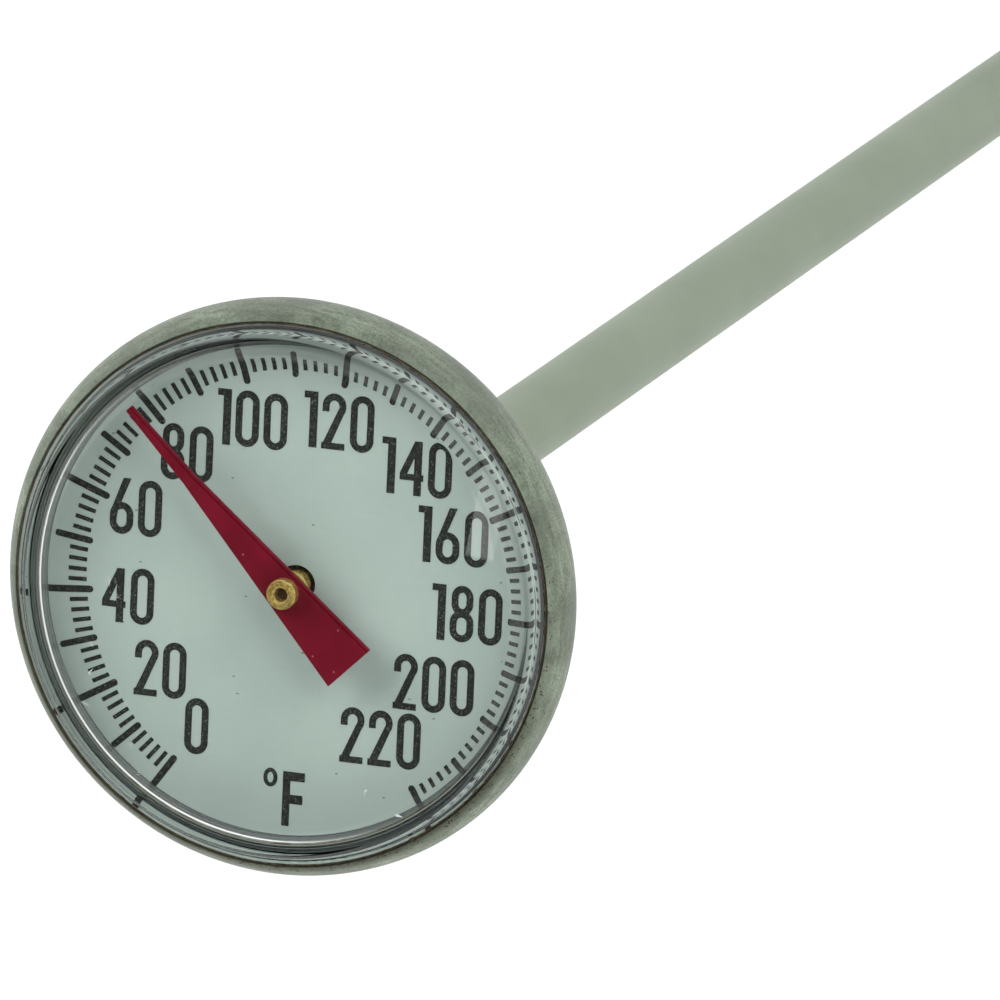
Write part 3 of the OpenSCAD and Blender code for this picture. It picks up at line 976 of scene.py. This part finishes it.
def scratches():
    """Whitened scratches in the top of the dome, as thin lens-shaped slivers."""
    bm = bmesh.new()
    dome_z = CRYSTAL_TOP_Z - DOME_R
    for r, way, length, width, turn in SCRATCHES:
        for _ in range(STRANDS):
            at = polar(way + rng.uniform(-0.8, 0.8)) * (r + rng.uniform(-0.12, 0.12))
            along = polar(way + turn + rng.uniform(-12, 12))
            side = Vector((along.y, -along.x))
            long = length * rng.uniform(0.4, 1.0) / 2
            wide = width * rng.uniform(0.3, 1.0) / 2
            outline = [at - along * long, at + side * wide, at + along * long, at - side * wide * 0.4]
            lower = []
            upper = []
            for p in outline:
                z = dome_z + math.sqrt(DOME_R ** 2 - p.length_squared)
                lower.append(bm.verts.new((p.x, p.y, z - SCRATCH_DEEP)))
                upper.append(bm.verts.new((p.x, p.y, z + SCRATCH_DEEP)))
            bm.faces.new(lower)
            bm.faces.new(upper)
            for i in range(4):
                j = (i + 1) % 4
                bm.faces.new((lower[i], lower[j], upper[j], upper[i]))
    finish_mesh("crystal_scratches", bm, "head", scuffed_plastic())


lip_dirt()
crumbs()
scratches()


# ---------------------------------------------------------------- camera, floor and lights


CAMERA_PLACE = (233.29, 191.72, 748.60)
CAMERA_BACK = (0.28043, 0.23411, 0.93089)
CAMERA_RIGHT = (0.95359, 0.04288, -0.29805)
LENS = 607.4


def camera():
    """Long lens in front of the dial, a little above and to its right."""
    data = bpy.data.cameras.new("camera")
    data.lens = LENS
    data.sensor_width = 36
    data.clip_start = 0.01
    data.clip_end = 20
    cam = bpy.data.objects.new("camera", data)
    bpy.context.collection.objects.link(cam)
    back = Vector(CAMERA_BACK).normalized()
    up = back.cross(Vector(CAMERA_RIGHT).normalized()).normalized()
    axes = Matrix((up.cross(back), up, back)).transposed()
    cam.matrix_world = Matrix.Translation(Vector(CAMERA_PLACE) * MM) @ axes.to_4x4()
    bpy.context.scene.camera = cam


def floor():
    """Plain pale floor a millimetre under the stem's tip."""
    shader = Shader("floor", Roughness=0.9)
    shader.set("Base Color", (0.93, 0.93, 0.93))
    mesh = bpy.data.meshes.new("floor")
    half = 3.0
    z = (TIP_Z - 1) * MM
    corners = [(-half, -half, z), (half, -half, z), (half, half, z), (-half, half, z)]
    mesh.from_pydata(corners, [], [(0, 1, 2, 3)])
    mesh.materials.append(shader.material)
    obj = bpy.data.objects.new("floor", mesh)
    bpy.context.collection.objects.link(obj)


def direction(azimuth, fall):
    """Unit vector at an azimuth from +X towards +Y and an angle down from +Z."""
    a, f = math.radians(azimuth), math.radians(fall)
    return Vector((math.cos(a) * math.sin(f), math.sin(a) * math.sin(f), math.cos(f)))


LAMP_DISTANCE = 0.9


def softbox(name, azimuth, fall, power, width, depth, mirrored=False):
    """Flat lamp that faces the head, in watts and metres. Only a mirrored one shows in the crystal."""
    data = bpy.data.lights.new(name, "AREA")
    data.shape = "RECTANGLE"
    data.size = width
    data.size_y = depth
    data.energy = power
    lamp = bpy.data.objects.new(name, data)
    bpy.context.collection.objects.link(lamp)
    way = direction(azimuth, fall)
    lamp.location = way * LAMP_DISTANCE
    lamp.visible_camera = False
    lamp.visible_glossy = mirrored
    lamp.visible_transmission = mirrored
    lamp.rotation_mode = "QUATERNION"
    lamp.rotation_quaternion = way.to_track_quat("Z", "Y")


def studio_light(strength, flags):
    """White surroundings, dimmed towards dark flags.

    Each flag is a direction, the share of light that it leaves, and the two angles between which it fades out.
    """
    world = bpy.data.worlds.new("studio")
    world.use_nodes = True
    tree = world.node_tree
    where = tree.nodes.new("ShaderNodeTexCoord").outputs["Generated"]
    left = None
    for way, share, fade_start, fade_end in flags:
        dot = tree.nodes.new("ShaderNodeVectorMath")
        dot.operation = "DOT_PRODUCT"
        dot.inputs[1].default_value = way
        tree.links.new(where, dot.inputs[0])
        fade = tree.nodes.new("ShaderNodeMapRange")
        fade.interpolation_type = "SMOOTHSTEP"
        fade.inputs["From Min"].default_value = math.cos(math.radians(fade_end))
        fade.inputs["From Max"].default_value = math.cos(math.radians(fade_start))
        fade.inputs["To Min"].default_value = 1.0
        fade.inputs["To Max"].default_value = share
        tree.links.new(dot.outputs["Value"], fade.inputs["Value"])
        times = tree.nodes.new("ShaderNodeMath")
        times.operation = "MULTIPLY"
        times.inputs[0].default_value = strength
        if left is not None:
            tree.links.new(left, times.inputs[0])
        tree.links.new(fade.outputs["Result"], times.inputs[1])
        left = times.outputs[0]
    background = tree.nodes["Background"]
    background.inputs["Color"].default_value = (0.975, 1.0, 0.985, 1)
    tree.links.new(left, background.inputs["Strength"])
    bpy.context.scene.world = world


camera()
floor()

# What the crystal mirrors into the camera is nearly dark, and weaker flags near the horizon shade the metal
view_x, view_y, view_z = Vector(CAMERA_PLACE).normalized()
mirrored_way = Vector((-view_x, -view_y, view_z))
studio_light(1.25, (
    (mirrored_way, 0.02, 34, 60),
    (direction(102, 86), 0.35, 10, 34),
    (direction(20, 80), 0.45, 8, 30),
    (direction(292, 84), 0.35, 12, 38),
    (direction(205, 88), 0.80, 8, 32),
))
softbox("key", 138, 55, 5.2, 0.5, 0.5)
softbox("front", 39, 55, 3.6, 0.5, 0.5)
softbox("side", -75, 60, 2.8, 0.5, 0.5)
softbox("window", -9.4, 7.7, 0.03, 0.16, 0.05, mirrored=True)
bpy.context.scene.view_settings.view_transform = "Standard"
